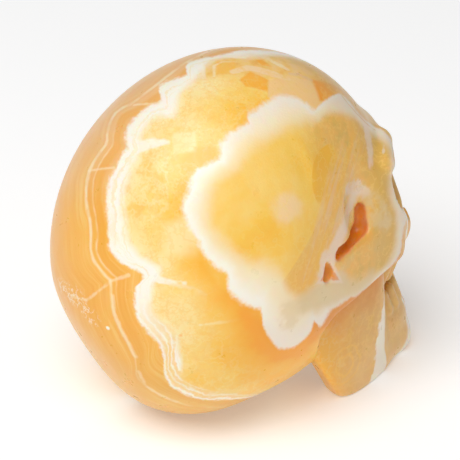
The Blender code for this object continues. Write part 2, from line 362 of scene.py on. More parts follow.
INNER_BAND_NOTCHES = (75, 117, 147, 228, 255, 283)
INNER_BAND_INSIDE = (
    (0, 35.9), (7.6, 34.8), (14.3, 35.2), (21.8, 35.8), (28, 37.8), (32.7, 38.4), (38, 37.6), (43, 35.8),
    (49, 34.4), (55, 33.8), (60, 32.6), (67, 30.5), (74, 28.5), (92, 28.9), (113, 29.5), (123, 30.8),
    (133, 31.5), (144, 31.6), (156, 32.9), (166, 34.8), (177, 35.3), (187, 35.3), (199, 34.6), (211, 33.3),
    (224, 31.8), (237, 29.9), (249, 27.7), (261, 27.1), (267, 28.2), (277, 29.3), (285, 28), (292, 26.4),
    (300, 28.4), (306, 32.6), (312, 34.8), (318.5, 37.2), (325, 40), (333, 41.6), (338, 41.4), (345, 40.2),
    (353, 38.4), (360, 35.9),
)
OUTER_BAND_OUTSIDE = (
    (0, 55), (25, 53), (60, 49), (95, 47.6), (104, 48.4), (115, 49.6), (121, 51), (125.5, 51.9), (127, 49.2),
    (133, 50.9), (137, 52.2), (139.4, 51), (141, 49.6), (148, 52.7), (154, 53.6), (158, 53.2), (159.8, 52.2),
    (168, 54.1), (176, 55.6), (185, 55.4), (192, 56.2), (197, 55.4), (203, 52.1), (206.5, 50.8), (208, 53.6),
    (213, 55.6), (219, 57), (226, 56.8), (230, 58.2), (234, 62.5), (239, 64.2), (246, 63.8), (254, 61.6),
    (262, 64), (285, 90), (325, 90), (345, 62), (360, 55),
)
OUTER_BAND_NOTCHES = (127, 141, 159.8, 206.5)
OUTER_BAND_INSIDE = (
    (0, 51), (25, 49), (60, 46), (95, 45.6), (106, 46.6), (112, 48), (116, 48.9), (120, 49), (123, 47.6),
    (132, 47.6), (141, 46.3), (146, 49), (150, 50.2), (155, 50.8), (160, 50.4), (168, 51), (176, 52.3),
    (190, 52.8), (196, 51.4), (203, 48.8), (206.5, 47.4), (210, 49.6), (213.6, 51.6), (218, 53.7),
    (227, 52.9), (233, 54.7), (237, 58.6), (240, 61), (247, 60.6), (252, 59.4), (262, 61.5), (285, 86),
    (325, 86), (345, 59), (360, 51),
)
REAR_LINE = (
    (0, 63), (60, 58), (110, 53), (130, 52.6), (140, 53.7), (147, 55.7), (150, 57.4), (154, 58.6),
    (158, 58.2), (161, 57.2), (168, 59.6), (176, 60.7), (186, 60.1), (194, 61), (200, 59.7), (202.6, 58.6),
    (211, 61.3), (220, 62.8), (225, 64.4), (231, 68.9), (241, 68.1), (250, 66.5), (300, 66), (360, 63),
)
REAR_LINE_NOTCHES = (161, 202.6)
OUTLINE_LOW = 20
OUTLINE_HIGH = 95

# On the far side of the centre the outlines even out to these distances.
FAR_INNER_BAND = (43, 37)
FAR_OUTER_BAND = (56, 53)
FAR_REAR_LINE = 63


def colour(red, green, blue):
    """A colour given in screen values from 0 to 255, as the shader's own linear values."""
    def linear(value):
        share = value / 255
        return share / 12.92 if share <= 0.04045 else ((share + 0.055) / 1.055) ** 2.4
    return (linear(red), linear(green), linear(blue), 1)


WHITE = colour(252, 243, 228)
DULL_WHITE = colour(234, 217, 196)
CREAM = colour(250, 228, 188)
PALE_YELLOW = colour(254, 229, 170)
PALE_GOLD = colour(253, 214, 126)
GOLD = colour(254, 201, 84)
AMBER = colour(254, 188, 60)
ORANGE = colour(252, 172, 24)
BURNT_ORANGE = colour(253, 160, 16)
# Used only for painted shade under the cheek arch and on the jaw's top.
PAINTED_SHADE_ORANGE = colour(226, 138, 30)
TAN = colour(243, 181, 74)
DARK_TAN = colour(238, 168, 54)
PALE_TAN = colour(248, 204, 118)
PEACH = colour(251, 214, 164)
PINK_TAN = colour(238, 196, 152)
HONEY_TAN = colour(243, 186, 88)
OLIVE_TAN = colour(230, 190, 112)
OCHRE = colour(248, 188, 62)
CHEEK_GOLD = colour(223, 179, 86)
FACE_TAN = colour(224, 176, 106)
BEIGE = colour(249, 205, 142)
ARCH_CREAM = colour(228, 202, 152)
ROSE_WHITE = colour(240, 214, 190)
GLOW_RIM = colour(234, 168, 116)
GLOW = colour(243, 152, 26)
PIT_GLOW = colour(253, 186, 92)

# Each kind of stone as a scale of colours, with the share at which each colour lies.
REAR_TINTS = ((0.3, DARK_TAN), (0.48, TAN), (0.68, PALE_TAN))
HONEY_TINTS = ((0.3, PALE_GOLD), (0.5, GOLD), (0.7, AMBER))
GOLD_TINTS = ((0, AMBER), (0.18, GOLD), (0.5, PALE_GOLD), (0.95, PALE_YELLOW))
TOP_TINTS = ((0.35, HONEY_TAN), (0.5, PALE_TAN), (0.65, BEIGE))
FACE_TINTS = ((0.32, CHEEK_GOLD), (0.5, FACE_TAN), (0.68, OLIVE_TAN))
CORE_TINTS = ((0.3, AMBER), (0.5, GOLD), (0.78, PALE_GOLD))
TEMPLE_TINTS = ((0.32, CHEEK_GOLD), (0.5, HONEY_TAN), (0.68, OLIVE_TAN))


PLACE_GROUP = "place in mm"
SEED_STEPS = (1.7, 2.3, 2.9)


def place_group():
    """A group of nodes that gives the place on the piece in mm."""
    tree = bpy.data.node_groups.new(PLACE_GROUP, "ShaderNodeTree")
    tree.interface.new_socket("Place", in_out="OUTPUT", socket_type="NodeSocketVector")
    nodes = Nodes(tree)
    place = nodes.scaled(tree.nodes.new("ShaderNodeTexCoord").outputs["Object"], 1 / MM)
    nodes.add("NodeGroupOutput", place)


class Stone(Nodes):
    """Patterns in the stone, and the colour that they are laid over. Every place and size is in mm, and a
    share runs from 0 to 1."""

    def __init__(self, tree, colour=None):
        super().__init__(tree)
        self.colour = colour
        self.coordinates = tree.nodes.new("ShaderNodeTexCoord").outputs["Object"]
        self.place = self.add("ShaderNodeGroup", node_tree=bpy.data.node_groups[PLACE_GROUP]).outputs[0]

    def height(self):
        return self.split(self.place)[2]

    def moved(self, shift, factor=1):
        """Texture coordinates scaled and then shifted."""
        node = self.add("ShaderNodeMapping", Vector=self.coordinates, Location=shift, Scale=(factor,) * 3)
        return node.outputs[0]

    def cloud(self, size, seed, detail=2, roughness=0.5):
        """Smooth random shares, about 0.5 in the middle, with blots of this size."""
        place = self.moved(tuple(seed * step for step in SEED_STEPS), 1 / (MM * size))
        node = self.add("ShaderNodeTexNoise", Vector=place, Scale=1, Detail=detail, Roughness=roughness)
        return node.outputs["Fac"]

    def patches(self, size, seed, start, end, detail=2):
        """Blots of this size, from none where the cloud is at start to full where it is at end."""
        return self.ease(self.cloud(size, seed, detail), start, end)

    def wander(self, size, seed, reach, detail=2):
        """Smooth random lengths, from about minus to plus the given reach."""
        return self.linear(self.cloud(size, seed, detail), 4 * reach, -2 * reach)

    def stray(self, value, size, seed, reach, detail=2):
        """A value that wanders."""
        return self.plus(value, self.wander(size, seed, reach, detail))

    def wisps(self, size, seed, width):
        """Thin winding lines, and nothing between them."""
        return self.line(self.cloud(size, seed, 3, 0.6), 0.5, 0, width)

    def lobes(self, centre, spread):
        """How far the direction from a centre is from the middle of the nearest lobe, from 0 to about 1."""
        offset = self.moved(tuple(-MM * c for c in centre))
        direction = self.add("ShaderNodeMapping", vector_type="NORMAL", Vector=offset).outputs[0]
        return self.add("ShaderNodeTexVoronoi", Vector=direction, Scale=spread).outputs[0]

    def layered(self, height, pitch, seed, drift=0.03):
        """Random shares that change quickly with the height and slowly along the layers."""
        place = self.moved((seed,) * 3, drift / MM)
        layer = self.maths("DIVIDE", height, pitch)
        node = self.add("ShaderNodeTexNoise", noise_dimensions="4D", Vector=place, W=layer,
                        Scale=1, Detail=3, Roughness=0.6)
        return node.outputs["Fac"]

    def ease(self, value, start, end):
        """A share that is 0 at start and 1 at end, smooth between."""
        return self.add("ShaderNodeMapRange", interpolation_type="SMOOTHSTEP", Value=value, From_Min=start,
                        From_Max=end).outputs[0]

    def line(self, value, centre, width, softness):
        gap = self.maths("ABSOLUTE", self.minus(value, centre))
        return self.ease(gap, width + softness, width)

    def mix(self, share, first, second):
        return self.add("ShaderNodeMix", Factor=share, A=first, B=second).outputs["Result"]

    def over(self, below, above, *shares):
        """One colour over another by the product of the shares."""
        share = self.times(*shares)
        node = self.add("ShaderNodeMix", data_type="RGBA", Factor=share)
        for socket, tint in zip([socket for socket in node.inputs if socket.type == "RGBA"], (below, above)):
            self.put(socket, tint)
        return [socket for socket in node.outputs if socket.type == "RGBA"][0]

    def lay(self, tint, *shares):
        self.colour = self.over(self.colour, tint, *shares)

    def fade(self, tint, value, start, end, *shares):
        """Lays a colour that begins where the value is at start and is full where it is at end."""
        self.lay(tint, self.ease(value, start, end), *shares)

    def ramp(self, share, stops):
        node = self.tree.nodes.new("ShaderNodeValToRGB")
        steps = node.color_ramp.elements
        while len(steps) < len(stops):
            steps.new(0.5)
        for step, stop in zip(steps, stops):
            step.position, step.color = stop
        self.put(node.inputs[0], share)
        return node.outputs[0]

    def outline(self, direction, points, notches=()):
        """The distance of an outline in the given direction, a share of a full turn."""
        node = self.tree.nodes.new("ShaderNodeFloatCurve")
        curve = node.mapping.curves[0]
        reach = OUTLINE_HIGH - OUTLINE_LOW
        while len(curve.points) < len(points):
            curve.points.new(0.5, 0.5)
        for point, (degrees, distance) in zip(curve.points, points):
            point.location = (degrees / 360, (distance - OUTLINE_LOW) / reach)
            point.handle_type = "VECTOR" if degrees in notches else "AUTO_CLAMPED"
        node.mapping.update()
        self.put(node.inputs["Value"], direction)
        return self.linear(node.outputs[0], reach, OUTLINE_LOW)

    def from_point(self, point):
        return self.measure("DISTANCE", self.place, point)

    def thread(self, points, radii):
        """How far the place is outside a chain of rods. radii holds one number for each point."""
        nearest = None
        for start, end, start_radius, end_radius in zip(points, points[1:], radii, radii[1:]):
            gap = self.rod(start, end, start_radius, end_radius)
            nearest = gap if nearest is None else self.maths("MINIMUM", nearest, gap)
        return nearest

    def pane(self, corners):
        """How far the place is outside a flat-sided patch with these corners, cut straight into the stone."""
        points = [Vector(corner) for corner in corners]
        middle = sum(points, Vector()) / len(points)
        inward = (Vector(HEAD_CENTRE) - middle).normalized()
        outside = self.minus(self.facet(middle, inward), PANE_DEPTH)
        for start, end in zip(points, points[1:] + points[:1]):
            across = (end - start).cross(inward).normalized()
            if (middle - start).dot(across) > 0:
                across = -across
            outside = self.maths("MAXIMUM", outside, self.facet(start, across))
        return outside

    def draw_panes(self, panes):
        """Lays cleaved patches: corners, colour, strength and how soft the edge is."""
        for corners, tint, strength, softness in panes:
            self.fade(tint, self.pane(corners), softness, -0.5 * softness, strength)

    def draw_marks(self, marks, seed):
        """Lays soft marks: points, half width at each, how far the edge fades, colour and strength."""
        ripple = self.wander(2.4, seed, 0.3)
        breaks = self.patches(3, seed + 1, 0.2, 0.5)
        for points, radii, fade, tint, strength in marks:
            gap = self.linear(ripple, fade, self.thread(points, radii))
            self.fade(tint, gap, fade, 0, breaks, strength)


# Patches are cut straight towards the middle of the head, this deep.
HEAD_CENTRE = (0, 5, 58)
PANE_DEPTH = 15

# A last band closes round the whole block: how far out at large and on the left, and where in x that changes.
LAST_BAND = (85, 71)
LEFT_FROM = -5
LEFT_FULL = 30
LAST_BAND_WIDTH = 4.5

# Clear-cut patches where the crystal cleaves: the corners on the surface, colour, strength and edge.
PANES = (
    (((-14.7, 29, 100.4), (-18.3, 23.7, 101.6), (-22.6, 25.4, 97.8), (-19.1, 30.9, 96.7)),
     PALE_YELLOW, 0.65, 0.8),
    (((-29.4, 38.1, 79), (-31.4, 33.3, 81.8), (-35.8, 30.9, 76.1), (-36.7, 32.3, 71.6), (-31.7, 39.6, 72.2)),
     PALE_YELLOW, 0.85, 2.4),
    (((-21.9, 25.1, 98.4), (-23.9, 20.9, 99), (-26.5, 21.5, 96.5), (-25.6, 25.6, 95)), AMBER, 0.8, 1.2),
)

# The top of the head is tan, made paler in part as painted light, with a pale strip, clear-cut orange and
# beige patches and one burnt wedge.
TOP_EDGE = ((-6.5, 6, 110), (0.93, -0.33, 0.15))
TOP_PANES = (
    (((-11.6, -3.5, 109.3), (-10.5, -18.1, 105.5), (-18.6, -18.4, 100.8), (-23, -13.4, 100.6),
      (-21.5, -4.6, 104.2), (-17.4, -0.6, 107.1)), BEIGE, 0.9, 0.5),
    (((-9.4, 4.7, 110.1), (-7.1, 0.2, 110.7), (-11.6, -3.5, 109.3), (-15.5, -1.2, 108), (-12.2, 4.1, 109.3)),
     ORANGE, 0.75, 0.6),
    (((2.2, 6.5, 111.1), (-0.5, 1.9, 111.4), (-6.4, 4.8, 110.8), (-3.8, 9.5, 110.6)), AMBER, 0.7, 0.8),
    (((-1.4, -4.6, 111), (-1.6, -6.5, 110.7), (-5.3, -7.3, 110.2), (-4.6, -5, 110.7)), ORANGE, 0.8, 0.5),
)
TOP_MARKS = (
    (((-5.3, 4.9, 111), (-5, -0.1, 111), (-6.8, -3.2, 110.5), (-9.2, -6.3, 109.6), (-11.5, -10.2, 108.1)),
     (0.7, 1, 1, 1.2, 0.3), 0.8, PEACH, 0.9),
    (((6.9, -8.7, 109.6), (1.9, -8.3, 110.3), (-2.4, -8.8, 110.2), (-4.8, -10.9, 109.5),
      (-7.2, -12.3, 108.6)), (1.6, 1.4, 0.6, 0.5, 0.2), 0.9, CREAM, 0.75),
    (((-9.1, -12, 108.2), (-9.1, -15.4, 107.1), (-10.4, -18.5, 105.3)), (0.3, 0.6, 0.3), 0.7, PINK_TAN, 0.7),
    (((-3.2, 13.4, 109.9), (2.9, 10.8, 110.5), (6.4, 7.5, 110.5), (4.1, 3, 111.2), (0.7, -2, 111.3)),
     (0.2, 0.3, 0.4, 0.3, 0.2), 0.6, CREAM, 0.7),
    (((-4.2, 10.6, 110.4), (0.6, 8.3, 111), (1.4, 5.3, 111.2), (-0.6, 1.7, 111.4)),
     (0.1, 0.2, 0.2, 0.1), 0.5, CREAM, 0.6),
    (((6, -3, 110.8), (3.5, -13, 109), (-1, -24, 103.5)), (2, 4, 4), 3, OLIVE_TAN, 0.7),
)
WEDGE = (
    (-10.2, -18.9, 105.2), (-7.3, -31.4, 96.9), (-12.5, -26, 100.2), (-17.2, -20.4, 100.7),
    (-17.4, -17.9, 102.1),
)
WEDGE_DEEPEST = (-15, -20.5, 101.5)

# Pale veins across the layers behind the outer band, dusty marks beside them, and a dot.
REAR_MARKS = (
    (((-25.6, 48.8, 63.5), (-21.2, 52.6, 60.1), (-16.6, 55.8, 54), (-13.6, 57.1, 50.6), (-6.5, 58.9, 48.6)),
     (0.3, 0.1, 0.1, 0.1, 0.3), 0.6, CREAM, 0.5),
    (((-7.3, 44.8, 89.3), (-2.6, 47.2, 87.1), (2.2, 49, 84.5)), (0.2, 0.1, 0.1), 0.5, CREAM, 0.55),
    (((-3.6, 26.7, 104.8), (0.1, 29.5, 103.4), (5.5, 32.3, 101.2)), (0.5, 0.2, 0.1), 0.6, CREAM, 0.6),
    (((-22.3, 52.5, 55.6), (-22.7, 52.5, 50.2), (-24, 51.2, 45.1), (-25.5, 49.4, 40.5), (-26.3, 47.5, 35.6)),
     (0.2, 0.3, 0.3, 0.3, 0.2), 0.9, CREAM, 0.5),
    (((-25.7, 46, 29.2), (-25.2, 43.9, 23.7), (-27.3, 39.9, 20.2), (-29.7, 34.5, 17.2)),
     (0.2, 0.2, 0.3, 0.2), 0.9, CREAM, 0.45),
)
DUST = (((0.1, 59.3, 48), (-9, 58.6, 49.5), (-15, 56.2, 44.9)), (1, 1.5, 1))
WHITE_DOT = (-20.3, 53.5, 43.6)

# White spurs reach from the outer band into the gold. Faint veins cross it, and near the top it is crackled.
MIDDLE_MARKS = (
    (((-8, 39.9, 94.4), (-9.8, 37.5, 96.1), (-12.9, 34.1, 97.8), (-15.5, 31.1, 98.6)),
     (2.2, 1.6, 0.8, 0.1), 1.2, WHITE, 0.85),
    (((-29.1, 45.2, 65.5), (-32.5, 42, 63.7), (-36.8, 35.9, 63.4)), (1.4, 0.6, 0.1), 0.9, WHITE, 0.8),
    (((-34.5, 39.6, 63), (-38.2, 33.6, 61.8), (-39.9, 31, 59.8)), (0.3, 0.1, 0.1), 0.8, CREAM, 0.5),
    (((-22.6, 28, 96.6), (-25.3, 24.4, 96), (-26, 20.6, 97.5)), (0.4, 1.4, 0.8), 2.2, AMBER, 0.6),
    (((-39.6, 32.5, 49.7), (-42.3, 25.6, 50.4), (-43.9, 19.9, 51.1), (-44.6, 16, 52.1)),
     (0, 0.15, 0.15, 0.3), 0.7, PALE_YELLOW, 0.9),
    (((-36.6, 37.4, 45.6), (-36.5, 37.5, 44.8)), (0.2, 0.2), 0.7, BURNT_ORANGE, 0.7),
)
CRACKLE_CENTRE = (-17.5, 38.5, 88)
CRACKLE_RADIUS = 16
CRACKLE_EDGE = ((-21.3, 33.8, 92.8), (-0.62, -0.76, 0.19))

# Tan growth lines split the lower part of the outer band: distance from its outer edge, half width. They come
# and go between these directions, in degrees.
SPLIT_LINES = ((-1.3, 0.2), (-2.8, 0.3), (-4.4, 0.2))
SPLIT_FROM = 208
SPLIT_FULL = 232
SPLIT_FADES = 262
SPLIT_END = 275

# Orange deepens behind and below the inner band. Under the cheek arch and on top of the jaw the deep orange
# is painted shade. A chain is its points and the half width at each.
BAND_GLOW = (
    ((-37.7, 31.5, 69.9), (-40.2, 28.8, 64.4), (-42.1, 25.6, 59.5), (-43.9, 19.9, 53.2), (-44.2, 16.7, 48),
     (-43.6, 14.1, 41.7), (-42, 7.9, 34.9), (-40.6, 0.5, 32.8), (-41.4, -3.8, 37.3), (-41.8, -4.8, 40.8)),
    (-2.5, -2, 0, 2.5, 4, 4, 4.5, 4.5, 3.5, 2),
)
DEEPEST_GLOW = (BAND_GLOW[0][3:], (0.2, 1, 1.6, 2, 2.4, 2.8, 3))
ARCH_UNDERSIDE_SHADE = (((-30, -32.9, 44.5), (-35.2, -21.8, 43.5), (-39.8, -10.6, 42.4)), (1, 1, 1))
JAW_TOP_SHADE = ((-26, -20, 37), (-25, -36, 40), 3, 2)

# Milky stone covers the cheek arch, its cream partly painted shade, and faint swirls surround a place low on
# the jaw.
ARCH_SKIN = (
    ((-43.6, -0.6, 51), (-40.6, -8.3, 50), (-38.1, -14.7, 48.6), (-35.5, -21.2, 46), (-32.5, -28, 45.5)),
    (1.2, 2.6, 1.8, 0.2, 0),
)
SWIRL_CENTRE = (-26.6, -23.4, 12.8)

# In front of this the stone turns duller and browner: partly its own tone, partly painted shade away from the
# lamp.
FACE_FROM = -12
FACE_FULL = -32

# The core turns tan below a straight cleavage. It holds streaks. An ochre crescent along the temple's crease
# is painted shade; a peach patch lies on the side of the head, and a dull spot of partly painted shade on the
# cheek arch.
CLEAVAGE = ((-39.4, -6.2, 74.7), (-0.077, -0.697, -0.712))
CRESCENT_CENTRE = (-41.5, -21.5, 86.8)
CRESCENT_RADIUS = 16.4
CRESCENT_MIDDLE = (-32.5, -10.5, 87.3)
STREAK = ((-39.4, -8, 64.7), (-0.543, -0.807, -0.233))
PEACH_PATCH = (-39.7, 3.9, 82.1)
ARCH_BEIGE = (-39.6, -10.8, 49.4)

# Milky stone runs beside the temple's slot and pit, over them, and down the temple's front edge.
TEMPLE_MARKS = (
    (((-14.1, -34.8, 89.1), (-17.2, -34.5, 86.3), (-20.9, -33.3, 83.2), (-24.2, -31.6, 80.1)),
     (1.2, 1.2, 0.9, 0.3), 1.6, ROSE_WHITE, 0.75),
    (((-30, -20.8, 77.1), (-26.7, -25.6, 75.3), (-26.3, -29.3, 72.5)), (0.8, 1.6, 0.6), 2, ROSE_WHITE, 0.8),
    (((-26.8, -30.8, 69.5), (-28, -32.4, 65), (-28.2, -35.8, 61.5)), (1, 2.6, 1), 3.5, ARCH_CREAM, 0.65),
    (((-40, -8.5, 62.6), (-40.3, -8, 60)), (1.2, 1), 1.8, ROSE_WHITE, 0.8),
    (((-44.5, 6, 51), (-44.2, 5.2, 46.5)), (1.5, 1.2), 3.5, ARCH_CREAM, 0.5),
    (((-11.4, -28.5, 98.2), (-13, -29.7, 95.9), (-14, -32.3, 92.4), (-13.6, -35.4, 88.7),
      (-12.3, -39.6, 84.4)), (0.1, 0.1, 0.15, 0.1, 0), 0.4, FACE_TAN, 0.7),
    (((-18.2, -39.6, 82.2), (-20, -38.6, 81.6), (-21, -37.6, 80.6)), (0.1, 0.3, 0.1), 0.5, DULL_WHITE, 0.7),
)
SLOT_HAZE = (
    ((-27, -25.2, 73.2), (-28.8, -22.6, 70.9), (-33.4, -18.8, 69.1), (-36.7, -15.5, 66.5),
     (-38.1, -12.7, 63.5), (-38.2, -10.4, 60), (-40.9, -6.7, 57.4)),
    (0.8, 1.2, 1.6, 1.7, 1.9, 1.7, 0.7),
)

# The slot and the pit glow where they are cut in: painted glow. The rods are given as in the form, like
# SLOT_UPPER.
GLOW_UPPER = ((26.2, -33.5, 66.3), (27.8, -32.5, 62), 2.5, 3)
GLOW_LOWER = ((27.8, -32.5, 62), (35.8, -22, 60.2), 3, 2.1)
PIT_CORNERS = ((-41, -6.7, 55.4), (-37.2, -10.3, 58.6), (-38.3, -13.9, 52.4))

# A white vein stands upright through the lower jaw's right side, wider towards its foot.
JAW_VEIN = ((-21, -38, 15), (0.7, -0.7, 0))
JAW_VEIN_TOP = 31


# How far the outlines stray by size of detail: size in mm, seed, reach in mm and levels of detail.
FRINGE = (0.9, 14, 0.22, 3)
CRINKLE = (2.4, 1, 0.35)
SWAY = (7, 2, 0.3)

# On the far side of the centre, between these shares of the way to the far pole, rounded lobes take over.
FAR_FROM = -0.72
FAR_FULL = -0.9
LOBE_SPREAD = 4
LOBE_DEPTH = 5


class Growth:
    """Where a place lies among the growth shells: distances to their edges, negative inside."""

    def __init__(self, stone):
        offset = stone.vector("SUBTRACT", stone.place, GROWTH_CENTRE)
        reach = stone.measure("LENGTH", offset)
        ahead = stone.measure("DOT_PRODUCT", offset, AHEAD)
        upward = stone.measure("DOT_PRODUCT", offset, UPWARD)
        outward = stone.measure("DOT_PRODUCT", offset, OUTWARD)
        angle = stone.maths("ARCTAN2", upward, ahead)
        self.turn = stone.maths("FRACT", stone.maths("DIVIDE", angle, 2 * math.pi))
        far = stone.ease(stone.maths("DIVIDE", outward, reach), FAR_FROM, FAR_FULL)
        fringe = stone.wander(*FRINGE)
        crinkle = stone.wander(*CRINKLE)
        sway = stone.wander(*SWAY)
        rough_reach = stone.plus(reach, stone.plus(fringe, stone.plus(crinkle, sway)))
        soft_reach = stone.plus(reach, stone.times(sway, 2))
        lobe = stone.lobes(GROWTH_CENTRE, LOBE_SPREAD)
        scallop = stone.times(lobe, lobe, -LOBE_DEPTH)

        def edge(points, notches, far_distance, distance):
            near = stone.outline(self.turn, points, notches)
            return stone.minus(distance, stone.mix(far, near, stone.plus(scallop, far_distance)))

        self.inner_out = edge(INNER_BAND_OUTSIDE, INNER_BAND_NOTCHES, FAR_INNER_BAND[0], rough_reach)
        self.inner_in = edge(INNER_BAND_INSIDE, (), FAR_INNER_BAND[1], soft_reach)
        self.outer_out = edge(OUTER_BAND_OUTSIDE, OUTER_BAND_NOTCHES, FAR_OUTER_BAND[0], rough_reach)
        self.outer_in = edge(OUTER_BAND_INSIDE, (), FAR_OUTER_BAND[1], soft_reach)
        self.rear = edge(REAR_LINE, REAR_LINE_NOTCHES, FAR_REAR_LINE, stone.plus(reach, sway))
        leftward = stone.ease(stone.split(stone.place)[0], LEFT_FROM, LEFT_FULL)
        last = stone.plus(stone.mix(leftward, LAST_BAND[0], LAST_BAND[1]), scallop)
        self.last_out = stone.minus(rough_reach, last)


SHELL_VALUES = ("turn", "inner_out", "outer_out", "outer_in", "rear", "last_out")


def painted(stone, here, paint, below=WHITE):
    """One layer in a group of its own: what paint lays over the colour below. here holds the shell values."""
    tree = bpy.data.node_groups.new(paint.__name__.replace("_", " "), "ShaderNodeTree")
    tree.interface.new_socket("Color", in_out="OUTPUT", socket_type="NodeSocketColor")
    tree.interface.new_socket("below", in_out="INPUT", socket_type="NodeSocketColor")
    for name in SHELL_VALUES:
        tree.interface.new_socket(name, in_out="INPUT", socket_type="NodeSocketFloat")
    given = tree.nodes.new("NodeGroupInput").outputs
    inner = Stone(tree, given["below"])
    paint(inner, types.SimpleNamespace(**{name: given[name] for name in SHELL_VALUES}))
    inner.add("NodeGroupOutput", inner.colour)
    shells = [getattr(here, name) for name in SHELL_VALUES]
    return stone.add("ShaderNodeGroup", below, *shells, node_tree=tree).outputs[0]


# The layers of colour. A pattern's numbers are its size in mm and its seed. A fade's are where the colour
# begins and is full, and its strength.
def growth_lines(stone, height, tint, seed, strength):
    """Fine lines of another tint that follow the shells."""
    stone.fade(tint, stone.layered(height, 0.7, seed, 0.05), 0.5, 0.68, strength)


def rear_stone(stone, here):
    """Tan stone outside the outer band, in fine pale and dark layers around one bright double line."""
    stone.colour = stone.ramp(stone.layered(here.rear, 0.8, 3), REAR_TINTS)
    stone.lay(TAN, stone.patches(14, 4, 0.35, 0.7), 0.8)
    stone.fade(PINK_TAN, here.outer_out, 3, 14, stone.patches(20, 22, 0.4, 0.65), 0.3)
    stone.fade(DARK_TAN, here.outer_out, 7, 15, 0.6)
    height = stone.height()
    upper = stone.ease(height, 50, 68)
    faint = stone.linear(upper, 0.45, 0.3)
    patchy = stone.patches(6, 21, 0.25, 0.6, 3)
    middle = stone.times(upper, stone.ease(height, 100, 90))
    stone.fade(PINK_TAN, height, 70, 96, 0.6)
    stone.lay(DARK_TAN, stone.line(here.rear, -2.8, 0.5, 1.4), 0.5)
    stone.lay(CREAM, stone.line(here.rear, -1.6, 0.05, 0.35), middle, patchy, 0.5)
    stone.lay(CREAM, stone.line(here.rear, 0, 0.12, 0.45), patchy, faint)
    stone.fade(CHEEK_GOLD, height, 46, 12, 0.5)
    dusty = stone.times(stone.wisps(2.6, 23, 0.05), stone.ease(stone.thread(*DUST), 3.5, 0))
    stone.lay(WHITE, dusty, 0.6)
    stone.draw_marks(REAR_MARKS, 24)
    stone.fade(WHITE, stone.from_point(WHITE_DOT), 0.9, 0.4, 0.9)


def honey_stone(stone, here):
    """Gold stone outside the last band."""
    share = stone.plus(stone.cloud(13, 8, 3), stone.times(here.last_out, 0.012))
    stone.colour = stone.ramp(share, HONEY_TINTS)
    growth_lines(stone, here.last_out, PALE_YELLOW, 26, 0.5)


def outer_band(stone, here):
    """White, with tan growth lines where the band splits in its lower part."""
    growth_lines(stone, here.outer_out, CREAM, 27, 0.8)
    degrees = stone.times(here.turn, 360)
    low = stone.ease(degrees, SPLIT_FROM, SPLIT_FULL)
    low = stone.times(low, stone.ease(degrees, SPLIT_END, SPLIT_FADES))
    broken = stone.patches(5, 28, 0.25, 0.5, 3)
    for centre, width in SPLIT_LINES:
        stone.lay(PALE_TAN, stone.line(here.outer_out, centre, width, 0.65), low, broken, 0.8)


def gold_stone(stone, here):
    """Gold between the two bands: paler towards the outer one, deep orange against the inner one."""
    span = stone.minus(here.inner_out, here.outer_in)
    share = stone.maths("DIVIDE", here.inner_out, stone.maths("MAXIMUM", span, 1))
    share = stone.stray(share, 11, 5, 0.2, 3)
    share = stone.stray(share, 2.5, 29, 0.06, 3)
    share = stone.minus(share, stone.times(stone.ease(stone.height(), 52, 26), 0.6))
    stone.colour = stone.ramp(share, GOLD_TINTS)
    stone.lay(PALE_YELLOW, stone.wisps(5, 30, 0.05), 0.25)
    stone.lay(AMBER, stone.wisps(4, 31, 0.04), 0.25)
    near = stone.ease(stone.from_point(CRACKLE_CENTRE), CRACKLE_RADIUS, CRACKLE_RADIUS - 7)
    near = stone.times(near, stone.ease(stone.facet(*CRACKLE_EDGE), 0.3, -0.3))
    stone.lay(AMBER, near, stone.patches(5, 32, 0.42, 0.6, 3), 0.5)
    stone.lay(PALE_YELLOW, near, stone.wisps(4.2, 33, 0.09), 0.5)
    stone.draw_panes(PANES)


def top_stone(stone, here):
    """Tan and beige stone on the top of the head, in clear-cut patches, paler in part as painted light."""
    edge = stone.stray(stone.facet(*TOP_EDGE), 5, 56, 1.2, 3)
    top = stone.times(stone.ease(edge, -2, 1.5), stone.ease(stone.height(), 92, 100))
    grain = stone.stray(stone.cloud(4, 34, 4), 1.4, 35, 0.04)
    # Partly painted light: the top's tints are paler than the stone, making up for little light from above.
    stone.lay(stone.ramp(grain, TOP_TINTS), top)
    stone.draw_panes(TOP_PANES)
    wedge = stone.ease(stone.pane(WEDGE), 1.2, -0.6)
    stone.lay(BURNT_ORANGE, wedge, stone.ease(stone.from_point(WEDGE_DEEPEST), 15, 3))
    stone.draw_marks(TOP_MARKS, 36)


def face_share(stone):
    """How far a place belongs to the duller face, partly the stone's own tone and partly painted shade."""
    return stone.ease(stone.split(stone.place)[1], FACE_FROM, FACE_FULL)


def face_stone(stone, here):
    """The face and the jaw are browner than the rest, partly painted shade, with faint swirls low on the jaw.
    """
    face = face_share(stone)
    stone.lay(stone.ramp(stone.cloud(8, 38, 4, 0.6), FACE_TINTS), face, 0.8)
    stone.lay(PALE_TAN, stone.wisps(6, 55, 0.05), 0.35)
    stone.lay(BEIGE, face, stone.ease(stone.height(), 20, 4), 0.45)
    rings = stone.stray(stone.from_point(SWIRL_CENTRE), 4, 39, 1)
    rings = stone.maths("SINE", stone.times(rings, 2.2))
    stone.fade(GOLD, rings, 0.2, 1, stone.ease(stone.from_point(SWIRL_CENTRE), 9, 5), 0.4)


